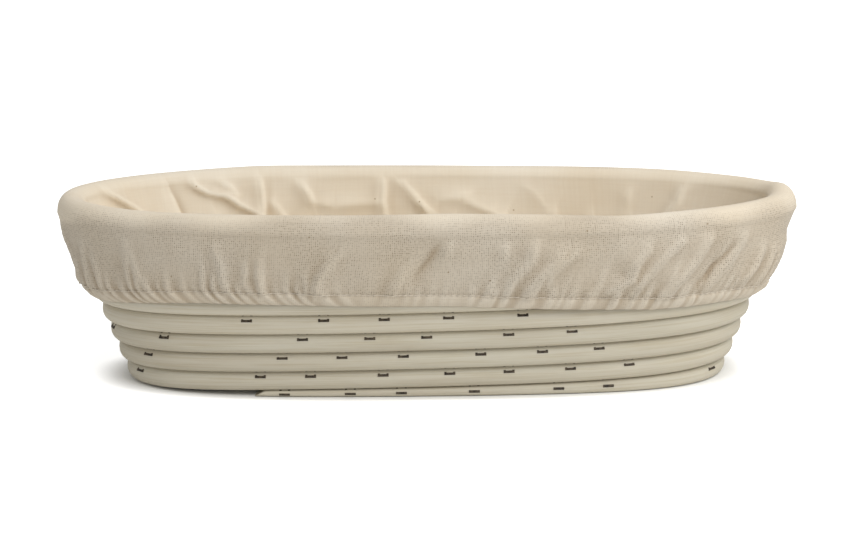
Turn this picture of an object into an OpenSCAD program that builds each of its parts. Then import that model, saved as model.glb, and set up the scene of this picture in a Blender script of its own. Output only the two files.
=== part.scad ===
// Oval proofing basket: round cane wound in a rising spiral and stapled turn to turn,
// with a cloth liner that is turned over the rim and gathered outside by an elastic hem.
// X runs along the basket, the front is at -Y, and the table is at Z = 0.

/* [Cane] */
// Diameter of the round cane
cane_d = 9.3; // [8:0.1:11]
// Room left between neighbouring turns
turn_gap = 0.65; // [0.55:0.05:1]
// Flat sides that make up the cane's round section
cane_sides = 8; // [6:2:12]
// Rings of points in one turn
turn_rings = 24; // [24:6:36]

/* [Floor] */
// Half length of the straight line that the turn on the table is wound round
core_half = 97.5; // [70:0.1:120]
// Amount by which that half length shrinks for each floor turn further in
core_pull = 7.5; // [6:0.1:10]
// Half length of the straight cane in the middle of the floor
core_length = 44; // [20:1:50]
// Turns from the middle of the floor out to the wall
floor_turns = 4; // [4:1:4]
// Extra room for each floor turn, taken up where the sides bow
floor_spare = 0.55; // [0.5:0.05:1]
// Bow of the sides in the middle of the floor, from 0 straight to 1 elliptic
core_bow = 0.57; // [0.45:0.01:0.7]
// Bow of the sides where the floor meets the wall
floor_bow = 0.45; // [0.4:0.01:0.5]

/* [Wall] */
// Rises from the turn on the table up to the rim
wall_rises = 8; // [8:1:8]
// Outward step of each turn on the long sides
side_flare = 2.8; // [2.5:0.1:4]
// Outward step of each turn at the two ends
end_flare = 3.6; // [3:0.1:4.5]
// Bow of the sides at the rim
rim_bow = 0.75; // [0.6:0.05:0.9]
// Share of the first climb that is passed before the pared tip under it starts
tip_at = 0.34; // [0.25:0.01:0.38]
// Share of the last climb at which the rim's pared end stops
end_at = 0.75; // [0.6:0.01:0.8]
// Turns that the lowest length of cane lasts, up to its splice behind
lower_turns = 4; // [3:1:4]
// Turns up to the splice of the next length
middle_turns = 7; // [5:1:7]
// Length of the slanting cut between two lengths of cane, in cane diameters
scarf_ratio = 2; // [1:0.1:3]

/* [Staples] */
// Spacing of the staples along a turn of the floor
staple_step = 30; // [20:1:40]
// Width of a staple across its crown
staple_w = 5; // [4:0.1:7]
// Length of a staple's legs
staple_leg = 7; // [6:0.1:7.5]
// Thickness of the staple wire
staple_wire = 1; // [0.6:0.1:1.2]
// Angle from the seam at which a crown lies on the lower turn
staple_angle = 47; // [45:1:52]
// Angle of the legs from the line between two turns, through the lower turn into the upper one
staple_slant = 60; // [58:1:65]

/* [Liner] */
// Thickness of the cloth
cloth_t = 0.9; // [0.6:0.1:1.2]
// Room between the cloth and the cane on the floor and outside
cloth_room = 0.5; // [0.4:0.1:1]
// Room between the cloth and the cane on the rim
rim_room = 0.9; // [0.8:0.1:1.5]
// Room between the cloth and the cane on the inside of the wall
bag_room = 1.4; // [1.2:0.1:2.5]
// Radius at which the bag turns from the floor into the wall
bag_corner = 5; // [3:0.5:10]
// Depth of the soft waves in the bag's wall
bag_wave = 2; // [0:0.1:3]
// Height of the hem's lower edge at the two ends
hem_end = 41; // [30:0.5:45]
// Height of the hem's lower edge on the long sides
hem_side = 46; // [30:1:50]
// Height of the turned-up hem
hem_h = 9; // [8:0.5:12]
// Number of main folds round the skirt
skirt_folds = 11; // [6:1:12]
// Depth of a main fold above the hem
fold_depth = 3.4; // [0:0.1:4]
// Share of a fold's depth that the elastic leaves in the hem
hem_share = 0.6; // [0.4:0.05:1]
// Slant of the folds from the rim to the hem, in degrees of a fold
fold_lean = 150; // [0:10:240]
// Width of the flat elastic
elastic_w = 3; // [2.5:0.1:3.5]
// Thickness of the elastic
elastic_t = 0.7; // [0.5:0.1:0.8]
// Room on each side of the elastic in its channel
elastic_room = 1; // [0.9:0.05:1.3]
// Height of the elastic's middle in the hem, as a share of the hem
elastic_at = 0.45; // [0.4:0.01:0.5]

/* [Hidden] */

cane_r = cane_d / 2;
// The section's corners lie outside the round cane and its flats inside, for an equal area
corner_r = cane_r * sqrt(2 * PI / (cane_sides * sin(360 / cane_sides)));
flat_r = corner_r * cos(180 / cane_sides);
ring_step = 360 / turn_rings;
pitch = cane_d + turn_gap;
rise = sqrt(pitch * pitch - side_flare * side_flare);
floor_pitch = pitch + floor_spare;
// The canes lie on one flat of their section
base_z = flat_r;
rim_z = base_z + rise * wall_rises;
// Sideways reach of the line that touches all the turns of the wall
wall_reach = corner_r * sqrt(1 + pow(end_flare / rise, 2));

wall_start = 360 - acos(2 * tip_at - 1);
wall_end = 360 * (wall_rises + 2) - acos(2 * end_at - 1);
// The splices are behind, at a quarter of a turn, and the floor's cane starts beside the core's right end
lower_end = 90 + 360 * lower_turns;
middle_end = 90 + 360 * middle_turns;
floor_start = 360 + 45;
floor_end = 360 * floor_turns + asin(2 * end_at - 1);

// Hand-set places of the staples along the front of five seams, from the lowest up; the seams
// above them repeat these, and so does the back of the basket
staple_angles = [
    [253, 261.5, 267, 274.5, 284.5, 292.5, 330.5],
    [207.5, 249, 256.5, 265, 272, 278.5, 286.5, 297],
    [217, 252, 260, 267, 275.5, 283, 291.5],
    [192.5, 225.5, 254.5, 263, 269.5, 279, 287.5],
    [245.5, 257, 264.5, 272, 281]];
bag_columns = 40;
skirt_columns = 5 * skirt_folds;
// Level of the small oval at which the bag's floor is closed
core_level = 0.8 - floor_turns;
// Distance below the rim, in levels, at which the bag starts to turn over it
rim_turn = 0.6;
floor_top = base_z + cane_r + cloth_room;
rim_reach = corner_r + rim_room;
bag_reach = wall_reach + bag_room;
skirt_reach = wall_reach + cloth_room;
channel_w = elastic_t + 2 * elastic_room;
// Room that the stitching leaves between the two layers of the hem
stitch_gap = cloth_t / 6;
route_step = 3;

cane_colour = [0.72, 0.67, 0.57];
shade_colour = [0.62, 0.56, 0.46];
wire_colour = [0.33, 0.30, 0.27];
cloth_colour = [0.82, 0.77, 0.69];
elastic_colour = [0.93, 0.92, 0.89];

function limit(v, low, high) = min(high, max(low, v));

// Plan of a turn: a straight core widened all round, with a bow from straight sides to an ellipse.
// Level 0 is the turn on the table, floor turns are below 0 and wall turns above.
function bow(u, w) = u / sqrt(u * u + w * w * (1 - u * u));
function bow_at(level) = level > 0
    ? floor_bow + (rim_bow - floor_bow) * level / wall_rises
    : floor_bow + (floor_bow - core_bow) * level / floor_turns;
function half_x(level) = floor_turns * floor_pitch + (level > 0 ? end_flare : floor_pitch) * level;
function half_y(level) = floor_turns * floor_pitch + (level > 0 ? side_flare : floor_pitch) * level;
function core_at(level) = core_half + core_pull * min(0, level);
function plan(q, level) =
    [core_at(level) * bow(cos(q), bow_at(level)) + half_x(level) * cos(q), half_y(level) * sin(q)];
function outward(before, after) =
    let (d = after - before) [d.y, -d.x, 0] / norm([d.x, d.y]);
function plan_out(q, level) = outward(plan(q - 1, level), plan(q + 1, level));

// A wall turn climbs one level along the front, from the left end to the right, and is level behind.
function is_front(q) = q % 360 >= 180;
function climb(q) = is_front(q) ? (1 + cos(q)) / 2 : 1;
function turn_of(q) = floor((q - 180) / 360);
function wall_level(q) = limit(turn_of(q) + climb(q) - 1, 0, wall_rises);
// A floor turn steps out by one pitch round the right end only, so its two sides stay straight.
function step_out(q) = (q + 90) % 360 < 180 ? (1 + sin(q)) / 2 : 1;
function floor_level(q) = floor((q - 270) / 360) + step_out(q) - floor_turns;
function wall_point(q) =
    let (p = plan(q, wall_level(q))) [p.x, p.y, base_z + rise * wall_level(q)];
function floor_point(q) =
    let (p = plan(q, floor_level(q))) [p.x, p.y, base_z];
function wall_out(q) = outward(wall_point(q - 1), wall_point(q + 1));
function floor_out(q) = outward(floor_point(q - 1), floor_point(q + 1));

// Section of the cane, pressed into the space between low and high and between two reaches
function section(centre, out, low, high, inner, outer, slant) =
    let (along = [-out.y, out.x, 0])
    [for (i = [0 : cane_sides - 1])
        let (a = (i + 0.5) * 360 / cane_sides,
            z = low + (corner_r * sin(a) + flat_r) * (high - low) / (2 * flat_r),
            n = inner + (corner_r * cos(a) + flat_r) * (outer - inner) / (2 * flat_r))
        centre + n * out + z * [0, 0, 1] + slant * z * along];

// The first climb goes over a pared tip, and the last is pared to leave the rim level.
function tip_top(share) = base_z + rise * share - cane_r - turn_gap;
function wall_low(q) = is_front(q) && turn_of(q) == wall_rises + 1
    ? rim_z + rise * (climb(q) - 1) + flat_r + turn_gap : 0;
function wall_high(q) =
    let (full = base_z + rise * wall_level(q) + flat_r)
    is_front(q) && turn_of(q) == 0 ? min(full, tip_top(climb(q))) : full;
function wall_ring(q, slant = 0) =
    let (c = wall_point(q),
        low = max(wall_low(q) - c.z, -min(flat_r, c.z)),
        high = wall_high(q) - c.z,
        pared = turn_of(q) == wall_rises + 1 ? (low + high) / (2 * corner_r) : 0,
        half = flat_r * sqrt(1 - pared * pared))
    section(c, wall_out(q), low, high, -half, half, slant);
function floor_ring(q) =
    let (left = floor_pitch * (1 - step_out(q)) - cane_r - turn_gap,
        last = q > 360 * floor_turns - 90)
    section(floor_point(q), floor_out(q), -base_z, flat_r, -flat_r, last ? min(flat_r, left) : flat_r, 0);

function stations(a, b) = concat([a],
    [for (q = [ceil(a / ring_step + 0.3) * ring_step : ring_step : b - 0.3 * ring_step]) q], [b]);

module tube(rings) {
    sides = len(rings[0]);
    last = (len(rings) - 1) * sides;
    skin = [for (r = [0 : len(rings) - 2], i = [0 : sides - 1])
        let (a = r * sides + i, b = r * sides + (i + 1) % sides)
        each [[a, b, a + sides], [b, b + sides, a + sides]]];
    start_cap = [for (i = [1 : sides - 2]) [0, i + 1, i]];
    end_cap = [for (i = [1 : sides - 2]) [last, last + i, last + i + 1]];
    polyhedron([for (r = rings) each r], concat(skin, start_cap, end_cap));
}

// Least gap between a turn and the next one: between the middle lines where both are round,
// and between the points and edges of the sections where one of them is pared
function edge_gap(p, a, b) =
    let (t = limit((p - a) * (b - a) / ((b - a) * (b - a)), 0, 1)) norm(p - a - t * (b - a));
function ring_gap(one, other) =
    min([for (p = one, i = [0 : len(other) - 1]) edge_gap(p, other[i], other[(i + 1) % len(other)])]);
function line_gap(route, q) =
    min([for (k = [-3 : 2])
        edge_gap(route(q), route(q + 360 + k * ring_step), route(q + 360 + (k + 1) * ring_step))]) - cane_d;
wall_round_gap = min([for (q = stations(360, wall_end - 540)) line_gap(function (a) wall_point(a), q)]);
wall_pared_gap = min([for (q = stations(wall_start, wall_end - 360))
    min(ring_gap(wall_ring(q), wall_ring(q + 360)), ring_gap(wall_ring(q + 360), wall_ring(q)))]);
floor_gap = min([for (q = stations(floor_start, floor_end - 480))
    line_gap(function (a) floor_point(a), q)]);
echo(wall_round_gap = wall_round_gap, wall_pared_gap = wall_pared_gap, floor_gap = floor_gap);

module wall_length(from, to, first_slant, last_slant) {
    color(cane_colour)
        tube([for (q = stations(from, to))
            wall_ring(q, q == from ? first_slant : q == to ? last_slant : 0)]);
}
module floor_core() {
    color(shade_colour)
        difference() {
            translate([0, 0, base_z])
                rotate([0, 90, 0])
                    cylinder(d = cane_d, h = 2 * core_length, center = true, $fn = 64);
            translate([-core_length - 1, -cane_d, -cane_d])
                cube([2 * core_length + 2, 2 * cane_d, cane_d]);
        }
}
module floor_cane() {
    color(shade_colour)
        tube([for (q = stations(floor_start, floor_end)) floor_ring(q)]);
}
module wall_cane_lower() { wall_length(wall_start, lower_end, scarf_ratio, scarf_ratio); }
module wall_cane_middle() { wall_length(lower_end, middle_end, scarf_ratio, scarf_ratio); }
module wall_cane_upper() { wall_length(middle_end, wall_end, scarf_ratio, 0); }

// A staple's crown lies along the lower turn, just under the seam, and is half sunk in it.
// Its legs are driven in and up, through the top of the lower turn into the upper one.
module staple(crown, along, leg, length) {
    side = cross(along, leg);
    half = staple_w / 2;
    inner = half - staple_wire;
    multmatrix([[along.x, leg.x, side.x, crown.x], [along.y, leg.y, side.y, crown.y],
            [along.z, leg.z, side.z, crown.z], [0, 0, 0, 1]])
        linear_extrude(staple_wire, center = true)
            polygon([[-half, -staple_wire / 2], [half, -staple_wire / 2], [half, length], [inner, length],
                [inner, staple_wire / 2], [-inner, staple_wire / 2], [-inner, length], [-half, length]]);
}
// The lower turn is given as its middle and its half thickness, and the upper one as its middle.
module staple_between(lower, lower_half, upper, along, face) {
    step = (upper - lower) - ((upper - lower) * along) * along;
    up = step / norm(step);
    side = face - (face * up) * up;
    out = side / norm(side);
    below = min(cane_r * (1 - cos(staple_angle)), lower_half / 2);
    reach = cane_r * sqrt(1 - pow(1 - below / lower_half, 2));
    crown = lower + up * (lower_half - below) + out * reach;
    color(wire_colour)
        staple(crown, along, cos(staple_slant) * up - sin(staple_slant) * out, staple_leg);
}
function along_of(out) = [-out.y, out.x, 0];
function wall_along(q) = let (d = wall_point(q + 1) - wall_point(q - 1)) d / norm(d);

// Stations at equal lengths along the floor's cane
function lengths(route, from, to) = [for (q = from, s = 0; q <= to;
    s = s + norm(route(q + route_step) - route(q)), q = q + route_step) [s, q]];
function places(table) =
    [for (s = [staple_step / 2 : staple_step : table[len(table) - 1][0]]) lookup(s, table)];
floor_places = places(lengths(function (q) floor_point(q), floor_start, 360 * floor_turns - 90));

function wall_span(q) = let (ring = wall_ring(q)) [for (p = ring) p.z];
function wall_half(q) = (max(wall_span(q)) - min(wall_span(q))) / 2;
function wall_middle(q) =
    let (p = wall_point(q)) [p.x, p.y, (max(wall_span(q)) + min(wall_span(q))) / 2];
module wall_staple_row(turn) {
    angles = staple_angles[(turn - 1) % len(staple_angles)];
    for (a = angles, half = [0, 180]) {
        q = 360 * (turn - 1) + a + half;
        if (q > wall_start && q < wall_end - 360)
            staple_between(wall_middle(q), wall_half(q), wall_middle(q + 360), wall_along(q), wall_out(q));
    }
}
module wall_staples_1() { wall_staple_row(1); }
module wall_staples_2() { wall_staple_row(2); }
module wall_staples_3() { wall_staple_row(3); }
module wall_staples_4() { wall_staple_row(4); }
module wall_staples_5() { wall_staple_row(5); }
module wall_staples_6() { wall_staple_row(6); }
module wall_staples_7() { wall_staple_row(7); }
module wall_staples_8() { wall_staple_row(8); }
module wall_staples_9() { wall_staple_row(9); }

// Outside the floor's last turn lies the wall's turn on the table.
function floor_neighbour(q) =
    q + 360 <= 360 * floor_turns - 90 ? floor_point(q + 360) :
    wall_point(q % 360 + (q % 360 < wall_start ? 360 : 0));
module floor_staple_row(turn) {
    for (q = floor_places)
        if (turn_of(q) == turn - 1)
            staple_between(floor_point(q), cane_r, floor_neighbour(q), along_of(floor_out(q)), [0, 0, 1]);
}
module floor_staples_1() {
    floor_staple_row(1);
    for (x = [-staple_step : staple_step : staple_step], side = [-1, 1])
        staple_between([x, 0, base_z], cane_r, [x, side * floor_pitch, base_z], [side, 0, 0], [0, 0, 1]);
}
module floor_staples_2() { floor_staple_row(2); }
module floor_staples_3() { floor_staple_row(3); }
module floor_staples_4() { floor_staple_row(4); }

// Cloth points: a level of the wall, a distance outwards from its middle line, and a height
function cloth_point(q, level, n, z) =
    let (p = plan(q, level)) [p.x, p.y, z] + n * plan_out(q, level);
function level_at(z) = (z - base_z) / rise;

// Bag side at a depth in the cloth, from the middle of the floor up the wall and over the rim
function bag_side(q, depth) =
    let (wave = bag_wave * (1 + sin(5 * q + 40) * cos(2 * q)) / 2,
        wall = -bag_reach - depth)
    concat(
        [cloth_point(q, core_level, 0, floor_top + depth),
            cloth_point(q, 0, -bag_reach - bag_corner - depth / 2, floor_top + depth),
            cloth_point(q, 1, wall - bag_corner / 4, base_z + rise + depth / 2),
            cloth_point(q, wall_rises / 2, wall - wave, base_z + rise * wall_rises / 2),
            cloth_point(q, wall_rises - rim_turn, wall, rim_z - rim_turn * rise)],
        [for (a = [150 : -30 : 0]) cloth_point(q, wall_rises,
            ((a > 90 ? bag_reach : rim_reach) + depth) * cos(a), rim_z + (rim_reach + depth) * sin(a))]);

// Skirt and hem, as one section turned up on itself round the elastic
function hem_z(q) = hem_end + (hem_side - hem_end) * pow(sin(q), 2);
function fold(q, share) = fold_depth * share * (1 + sin(skirt_folds * q + fold_lean * share * cos(q))) / 2;
function skirt_section(q) =
    let (z = hem_z(q), stitch = z + hem_h, middle = z + hem_h / 2, drop = rim_z - stitch,
        inner = skirt_reach + cloth_t, outer = inner + channel_w)
    [[rim_reach + cloth_t, rim_z, 0], [skirt_reach + cloth_t, rim_z - drop / 3, 0.4],
        [skirt_reach + cloth_t * 2, rim_z - drop * 2 / 3, 0.8],
        [inner + stitch_gap + cloth_t, stitch, 1], [outer + cloth_t, middle, hem_share],
        [inner + channel_w / 2 + cloth_t / 2, z, hem_share], [inner - cloth_t / 2, z, hem_share],
        [skirt_reach, middle, hem_share], [skirt_reach, stitch, hem_share],
        [inner, stitch, hem_share], [inner, middle, hem_share],
        [inner + channel_w / 2, z + cloth_t, hem_share], [outer, middle, hem_share],
        [inner + stitch_gap, stitch, 1],
        [skirt_reach + cloth_t, rim_z - drop * 2 / 3, 0.8], [skirt_reach, rim_z - drop / 3, 0.4],
        [rim_reach, rim_z, 0]];
function elastic_section(q) =
    let (low = skirt_reach + cloth_t + elastic_room, z = hem_z(q) + hem_h * elastic_at)
    [[low + elastic_t, z + elastic_w / 2, hem_share], [low + elastic_t, z - elastic_w / 2, hem_share],
        [low, z - elastic_w / 2, hem_share], [low, z + elastic_w / 2, hem_share]];
function swept(q, profile) =
    [for (p = profile) cloth_point(q, level_at(p[1]), p[0] + fold(q, p[2]), p[1])];

module closed_loop(rings) {
    sides = len(rings[0]);
    count = len(rings);
    polyhedron([for (r = rings) each r],
        [for (r = [0 : count - 1], i = [0 : sides - 1])
            let (a = r * sides + i, b = r * sides + (i + 1) % sides,
                c = (r + 1) % count * sides + i, d = (r + 1) % count * sides + (i + 1) % sides)
            each [[a, c, b], [b, c, d]]]);
}
module liner_bag() {
    rings = [for (k = [0 : bag_columns - 1]) let (q = k * 360 / bag_columns)
        let (under = bag_side(q, 0), over = bag_side(q, cloth_t))
        concat(under, [for (i = [len(over) - 1 : -1 : 0]) over[i]])];
    rows = len(rings[0]);
    skin = [for (k = [0 : bag_columns - 1], i = [0 : rows - 2])
        let (a = k * rows + i, c = (k + 1) % bag_columns * rows + i)
        each [[a, a + 1, c], [a + 1, c + 1, c]]];
    floor_caps = [for (k = [0 : bag_columns / 2 - 1])
        let (a = k, b = k + 1, c = bag_columns - 1 - k, d = (bag_columns - k) % bag_columns)
        each [for (t = [[a, b, c], [a, c, d]])
            if (t[0] != t[1] && t[1] != t[2] && t[0] != t[2])
                each [t * rows, [t[2], t[1], t[0]] * rows + (rows - 1) * [1, 1, 1]]]];
    color(cloth_colour)
        polyhedron([for (r = rings) each r], concat(skin, floor_caps));
}
module liner_skirt() {
    color(cloth_colour)
        closed_loop([for (k = [0 : skirt_columns - 1])
            let (q = k * 360 / skirt_columns) swept(q, skirt_section(q))]);
}
module hem_elastic() {
    color(elastic_colour)
        closed_loop([for (k = [0 : skirt_columns - 1])
            let (q = k * 360 / skirt_columns) swept(q, elastic_section(q))]);
}

floor_core();
floor_cane();
wall_cane_lower();
wall_cane_middle();
wall_cane_upper();
floor_staples_1();
floor_staples_2();
floor_staples_3();
floor_staples_4();
wall_staples_1();
wall_staples_2();
wall_staples_3();
wall_staples_4();
wall_staples_5();
wall_staples_6();
wall_staples_7();
wall_staples_8();
wall_staples_9();
liner_bag();
liner_skirt();
hem_elastic();
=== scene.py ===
import math

import bpy
import numpy as np
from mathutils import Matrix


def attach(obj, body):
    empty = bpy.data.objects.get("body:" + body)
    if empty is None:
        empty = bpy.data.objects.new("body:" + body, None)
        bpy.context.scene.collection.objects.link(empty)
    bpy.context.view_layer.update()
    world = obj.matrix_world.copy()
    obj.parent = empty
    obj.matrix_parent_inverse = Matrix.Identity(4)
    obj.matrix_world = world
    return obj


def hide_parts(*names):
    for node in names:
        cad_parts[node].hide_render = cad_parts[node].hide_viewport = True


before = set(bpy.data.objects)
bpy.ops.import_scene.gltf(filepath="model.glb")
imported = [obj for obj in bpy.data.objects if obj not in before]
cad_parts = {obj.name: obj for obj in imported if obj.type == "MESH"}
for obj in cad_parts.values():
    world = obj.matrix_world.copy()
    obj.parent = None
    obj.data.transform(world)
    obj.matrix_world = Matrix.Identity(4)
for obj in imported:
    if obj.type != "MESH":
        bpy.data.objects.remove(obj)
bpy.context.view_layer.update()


# The floor: one round cane of peeled rattan core, about 9 mm thick, wound flat
# round a short straight cane in the middle and stapled turn to turn. All the canes
# follow one plan, a straight line widened all round, whose sides bow a little.
MM = 0.001
FULL_TURN = 2 * math.pi
# Half the height of a cane, which its neighbours press, and the height of its middle on the table
CANE_R, BASE_Z = 4.93, 4.53
FLOOR_PITCH, FLOOR_TURNS = 10.5, 4
# Half length of the line that the outermost floor turn goes round, and how much less each inner one has
CORE_HALF, CORE_PULL = 97.5, 7.5
# Bow of the sides, from 0 straight to 1 elliptic: in the floor's middle, at its edge and at the rim
CORE_BOW, FLOOR_BOW, RIM_BOW = 0.57, 0.45, 0.75
# Turns that the wall rises by, and the outward step of each on the sides and at the ends
WALL_RISES, SIDE_FLARE, END_FLARE = 8, 2.8, 3.6


def bowed_line(half, bow, angle):
    """Where a turn at an angle stands along the straight line that it goes round."""
    return half * np.cos(angle) / np.sqrt(np.cos(angle) ** 2 + bow ** 2 * np.sin(angle) ** 2)


def plan(angle, level):
    """A turn's x and y in mm at an angle; level 0 lies on the table, and inner floor turns have less."""
    up = level > 0
    bow = FLOOR_BOW + level * np.where(up, (RIM_BOW - FLOOR_BOW) / WALL_RISES,
                                       (FLOOR_BOW - CORE_BOW) / FLOOR_TURNS)
    core_half = CORE_HALF + CORE_PULL * np.minimum(0, level)
    wide = FLOOR_TURNS * FLOOR_PITCH
    wide_x = wide + np.where(up, END_FLARE, FLOOR_PITCH) * level
    wide_y = wide + np.where(up, SIDE_FLARE, FLOOR_PITCH) * level
    x = bowed_line(core_half, bow, angle) + wide_x * np.cos(angle)
    return np.stack([x, wide_y * np.sin(angle)], -1)


def outward(angle, route):
    """Level unit vectors that point out of the basket, square to a route."""
    near = 0.01
    ahead = route(angle + near) - route(angle - near)
    dx, dy = ahead[..., 0], ahead[..., 1]
    return np.stack([dy, -dx], -1) / np.hypot(dx, dy)[..., None]


def step_out(angle):
    """Share of a floor turn's outward step that is made, all of it round the right end."""
    right = (angle + math.pi / 2) % FULL_TURN < math.pi
    return np.where(right, (1 + np.sin(angle)) / 2, 1)


def floor_route(angle):
    """The floor's winding: a turn steps out by one cane round the right end and keeps its way elsewhere."""
    level = np.floor((angle - 1.5 * math.pi) / FULL_TURN) + step_out(angle) - FLOOR_TURNS
    return np.concatenate([plan(angle, level), np.full((len(angle), 1), BASE_Z)], 1)


def run_along(points):
    """The length of a line up to each of its points."""
    return np.concatenate([[0], np.cumsum(np.linalg.norm(np.diff(points, axis=0), axis=1))])


CANE_STEP, CANE_SIDES = 3.0, 20
FINE_DEGREES = 0.25


def even_stations(route, start, end):
    """Angles at equal lengths along a route, from one angle in degrees to another, and those lengths."""
    fine_angle = np.radians(np.arange(start, end + FINE_DEGREES / 2, FINE_DEGREES))
    length = run_along(route(fine_angle))
    even = np.linspace(0, length[-1], int(length[-1] / CANE_STEP) + 1)
    return np.interp(even, length, fine_angle), even


def deselect():
    """Nothing is selected, so that an operator acts on the new piece alone."""
    if bpy.context.mode != "OBJECT":
        bpy.ops.object.mode_set(mode="OBJECT")
    bpy.ops.object.select_all(action="DESELECT")


def grid_piece(name, across, along):
    """A flat grid that is then bent into shape: the object, and each vertex's column and row."""
    deselect()
    bpy.ops.mesh.primitive_grid_add(x_subdivisions=across, y_subdivisions=along, size=2)
    piece = bpy.context.object
    piece.name = piece.data.name = name
    flat = np.zeros(len(piece.data.vertices) * 3)
    piece.data.vertices.foreach_get("co", flat)
    flat = flat.reshape(-1, 3)
    column = np.rint((flat[:, 0] + 1) / 2 * across).astype(int)
    row = np.rint((flat[:, 1] + 1) / 2 * along).astype(int)
    return piece, column, row


SAME_PLACE = 1e-6


def bend_grid(piece, points, open_ends=False):
    """The vertices go to their places in mm, seams are merged, open ends filled and faces turned outwards."""
    piece.data.vertices.foreach_set("co", (points * MM).ravel())
    bpy.ops.object.mode_set(mode="EDIT")
    bpy.ops.mesh.select_all(action="SELECT")
    bpy.ops.mesh.remove_doubles(threshold=SAME_PLACE)
    if open_ends:
        bpy.ops.mesh.select_all(action="DESELECT")
        bpy.ops.mesh.select_non_manifold()
        bpy.ops.mesh.fill_holes(sides=0)
        bpy.ops.mesh.select_all(action="SELECT")
    bpy.ops.mesh.normals_make_consistent(inside=False)
    bpy.ops.object.mode_set(mode="OBJECT")


# A section's corners: 1 is round, and less is squarer
CANE_ROUND = 0.88
SHARP_EDGE = math.radians(50)
# A hand-wound cane is never quite even in its thickness or its line: (size, mm for each radian, start)
UNEVEN_THICKNESS = [(0.003, 41, 1), (0.002, 17.3, 0)]
UNEVEN_LINE = [(0.03, 63, 0), (0.02, 29, 2)]


def pressed(v, roundness):
    """A rounded square's run between -1 and 1, for canes that press on each other."""
    return np.sign(v) * np.abs(v) ** roundness


def waves(along, parts):
    """The sum of some waves at places along a line."""
    return sum(size * np.sin(along / stretch + start) for size, stretch, start in parts)


def wind_cane(name, route, stations, length, limits, slant=0.0, roundness=CANE_ROUND):
    """A grid rolled into a cane along a route, between limits in mm below, above, inside and outside it;
    where it has a slant, its section leans along the route."""
    piece, column, row = grid_piece(name, len(stations) - 1, CANE_SIDES)
    around = row / CANE_SIDES * FULL_TURN
    place, out = route(stations)[column], outward(stations, route)[column]
    low, high, inner, outer, slant, roundness = [
        np.broadcast_to(v, stations.shape)[column] for v in (*limits, slant, roundness)]
    reach = inner + (pressed(np.cos(around), roundness) + 1) * (outer - inner) / 2
    z = low + (pressed(np.sin(around), roundness) + 1) * (high - low) / 2
    reach = reach * (1 + waves(length, UNEVEN_THICKNESS))[column] + waves(length, UNEVEN_LINE)[column]
    ahead = np.stack([-out[:, 1], out[:, 0]], 1)
    place[:, :2] += out * reach[:, None] + ahead * (slant * z)[:, None]
    place[:, 2] += z
    bend_grid(piece, place, open_ends=True)
    bpy.ops.object.shade_smooth_by_angle(angle=SHARP_EDGE)
    return piece


def colour(hex_code):
    """An sRGB hex value as the linear colour that the nodes take."""
    parts = [int(hex_code[i:i + 2], 16) / 255 for i in (1, 3, 5)]
    return [p / 12.92 if p <= 0.04045 else ((p + 0.055) / 1.055) ** 2.4 for p in parts] + [1]


def set_inputs(owner, node, inputs):
    """An input takes a value, an output, or a node, whose first output it then takes."""
    for key, value in inputs.items():
        if isinstance(value, bpy.types.Node):
            value = value.outputs[0]
        if isinstance(value, bpy.types.NodeSocket):
            owner.node_tree.links.new(value, node.inputs[key])
        else:
            node.inputs[key].default_value = value


def add_node(material, kind, settings=None, inputs=None):
    """A new node with its settings and links; a ramp is set by its two (position, hex colour) ends."""
    node = material.node_tree.nodes.new(kind)
    for key, value in (settings or {}).items():
        if key == "color_ramp":
            for element, (position, hex_code) in zip(node.color_ramp.elements, value):
                element.position, element.color = position, colour(hex_code)
        else:
            setattr(node, key, value)
    set_inputs(material, node, inputs or {})
    return node


def new_material(name):
    """A material and its shader, whose inputs are set once its pattern is made."""
    material = bpy.data.materials.new(name)
    material.use_nodes = True
    return material, material.node_tree.nodes["Principled BSDF"]


def dress(piece, material):
    """The piece has this material and no other."""
    piece.data.materials.clear()
    piece.data.materials.append(material)


# Rattan core: the peeled, sanded inner wood of the vine. It is pale and dull, with
# fine fibres along its length, a few darker ones, and slow changes of tone. Real
# fibres of about half a millimetre are drawn 0.75 mm wide, so that they show.
FIBRE_LONG, FIBRE_WIDE = 45, 0.75
TONE_LONG, TONE_WIDE = 110, 14
# Pale tones, and darker ones that are painted shade for the floor and the wall's lowest length
PALE, LOW_SHADE = ("#CAC2AF", "#D4CDBC"), ("#C3BBA9", "#CCC6B5")


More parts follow.
